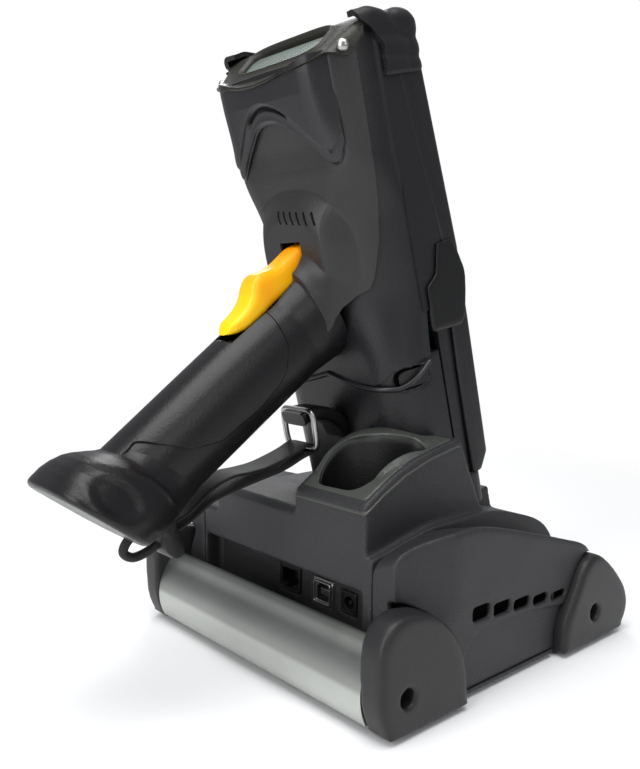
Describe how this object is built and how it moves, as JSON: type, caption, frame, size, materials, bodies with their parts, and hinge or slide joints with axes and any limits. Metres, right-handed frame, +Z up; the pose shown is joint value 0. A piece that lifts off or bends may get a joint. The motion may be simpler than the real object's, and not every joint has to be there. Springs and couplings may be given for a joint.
{
  "type": "portable barcode terminal with charging cradle",
  "caption": "Handheld barcode data terminal with pistol grip, trigger and hand strap, standing tilted in a single charging cradle with a spare battery slot.",
  "frame": {"origin": "on the table under the middle of the cradle", "axes": "+X to the right of a person who faces the display, +Y to the rear, where the grip and the cradle's sockets are, +Z up"},
  "size_m": [0.178, 0.2795, 0.2945],
  "materials": {
    "charcoal_plastic": "satin",
    "shield_plastic": "satin",
    "collar_plastic": "glossy",
    "bezel_rubber": "soft sheen",
    "window_glass": "clear",
    "display_glass": "clear",
    "dark_rubber": "matt",
    "key_rubber": "matt",
    "orange_plastic": "satin",
    "grip_plastic": "satin",
    "cradle_plastic": "textured",
    "liner_plastic": "matt",
    "bar_aluminium": "satin",
    "steel": "bright",
    "gold_contact": "bright",
    "board_green": "satin",
    "webbing": "woven",
    "lens_clear": "clear",
    "black_plastic": "glossy"
  },
  "bodies": {
    "cradle": {"cradle_top": "cradle_plastic", "cradle_base": "cradle_plastic", "rear_caps": "cradle_plastic", "front_caps": "cradle_plastic", "fender_right": "cradle_plastic", "fender_left": "cradle_plastic", "rear_bar": "bar_aluminium", "front_bar": "bar_aluminium", "rubber_feet": "dark_rubber", "well_liner": "liner_plastic", "data_socket": "black_plastic", "usb_socket": "steel", "power_socket": "black_plastic", "cradle_board": "board_green", "spare_contacts": "gold_contact", "base_screws": "steel", "led_lens": "lens_clear", "dock_plate": "black_plastic"},
    "terminal": {"front_housing": "charcoal_plastic", "rear_housing": "charcoal_plastic", "shield_cover": "shield_plastic", "head_collar": "collar_plastic", "window_bezel": "bezel_rubber", "scan_window": "window_glass", "scan_engine": "black_plastic", "top_boot": "dark_rubber", "mid_bumper": "dark_rubber", "tail_boot": "dark_rubber", "display_glass": "display_glass", "display_module": "black_plastic", "keypad_frame": "charcoal_plastic", "keypad_membrane": "dark_rubber", "main_board": "board_green", "battery_pack": "charcoal_plastic", "dock_connector": "black_plastic", "terminal_screws": "steel", "handle_shell": "grip_plastic", "handle_grip": "grip_plastic", "handle_foot": "grip_plastic", "foot_plug": "dark_rubber", "trigger_pin": "steel", "trigger_spring": "steel", "trigger_switch": "black_plastic", "strap_tab": "webbing", "strap_ring": "steel", "hand_strap": "webbing", "strap_clip": "black_plastic"},
    "trigger": {"trigger": "orange_plastic"},
    "power_key": {"power_key": "key_rubber"},
    "latch_right": {"battery_latch_right": "black_plastic"},
    "latch_left": {"battery_latch_left": "black_plastic"},
    "contact_pins": {"dock_pins": "gold_contact"},
    "key_row_1": {"key_row_1": "key_rubber"},
    "key_row_2": {"key_row_2": "key_rubber"},
    "key_row_3": {"key_row_3": "key_rubber"},
    "key_row_4": {"key_row_4": "key_rubber"},
    "key_row_5": {"key_row_5": "key_rubber"},
    "key_row_6": {"key_row_6": "key_rubber"},
    "key_row_7": {"key_row_7": "key_rubber"}
  },
  "joints": [
    {"name": "terminal_lift", "type": "slide", "parent": "cradle", "child": "terminal", "axis": [0, 0.2706, 0.9627], "range_m": [0, 0.12]},
    {"name": "trigger_pull", "type": "hinge", "parent": "terminal", "child": "trigger", "pos_m": [0, 0.09414, 0.151], "axis": [1, 0, 0], "range_deg": [0, 5], "stiffness_Nm_per_rad": 1.5, "springref_deg": -3.44, "deforming": ["trigger_spring"]},
    {"name": "power_press", "type": "slide", "parent": "terminal", "child": "power_key", "axis": [0, 0.9627, -0.2706], "range_m": [0, 0.0006], "stiffness_N_per_m": 1200, "springref_m": -0.0005},
    {"name": "latch_right_press", "type": "slide", "parent": "terminal", "child": "latch_right", "axis": [-1, 0, 0], "range_m": [0, 0.0015], "stiffness_N_per_m": 900, "springref_m": -0.001},
    {"name": "latch_left_press", "type": "slide", "parent": "terminal", "child": "latch_left", "axis": [1, 0, 0], "range_m": [0, 0.0015], "stiffness_N_per_m": 900, "springref_m": -0.001},
    {"name": "contact_press", "type": "slide", "parent": "cradle", "child": "contact_pins", "axis": [0, -0.2706, -0.9627], "range_m": [0, 0.0015], "stiffness_N_per_m": 600, "springref_m": -0.001},
    {"name": "key_row_1_press", "type": "slide", "parent": "terminal", "child": "key_row_1", "axis": [0, 0.9627, -0.2706], "range_m": [0, 0.0008], "stiffness_N_per_m": 1500, "springref_m": -0.0005},
    {"name": "key_row_2_press", "type": "slide", "parent": "terminal", "child": "key_row_2", "axis": [0, 0.9627, -0.2706], "range_m": [0, 0.0008], "stiffness_N_per_m": 1500, "springref_m": -0.0005},
    {"name": "key_row_3_press", "type": "slide", "parent": "terminal", "child": "key_row_3", "axis": [0, 0.9627, -0.2706], "range_m": [0, 0.0008], "stiffness_N_per_m": 1500, "springref_m": -0.0005},
    {"name": "key_row_4_press", "type": "slide", "parent": "terminal", "child": "key_row_4", "axis": [0, 0.9627, -0.2706], "range_m": [0, 0.0008], "stiffness_N_per_m": 1500, "springref_m": -0.0005},
    {"name": "key_row_5_press", "type": "slide", "parent": "terminal", "child": "key_row_5", "axis": [0, 0.9627, -0.2706], "range_m": [0, 0.0008], "stiffness_N_per_m": 1500, "springref_m": -0.0005},
    {"name": "key_row_6_press", "type": "slide", "parent": "terminal", "child": "key_row_6", "axis": [0, 0.9627, -0.2706], "range_m": [0, 0.0008], "stiffness_N_per_m": 1500, "springref_m": -0.0005},
    {"name": "key_row_7_press", "type": "slide", "parent": "terminal", "child": "key_row_7", "axis": [0, 0.9627, -0.2706], "range_m": [0, 0.0008], "stiffness_N_per_m": 1500, "springref_m": -0.0005}
  ]
}
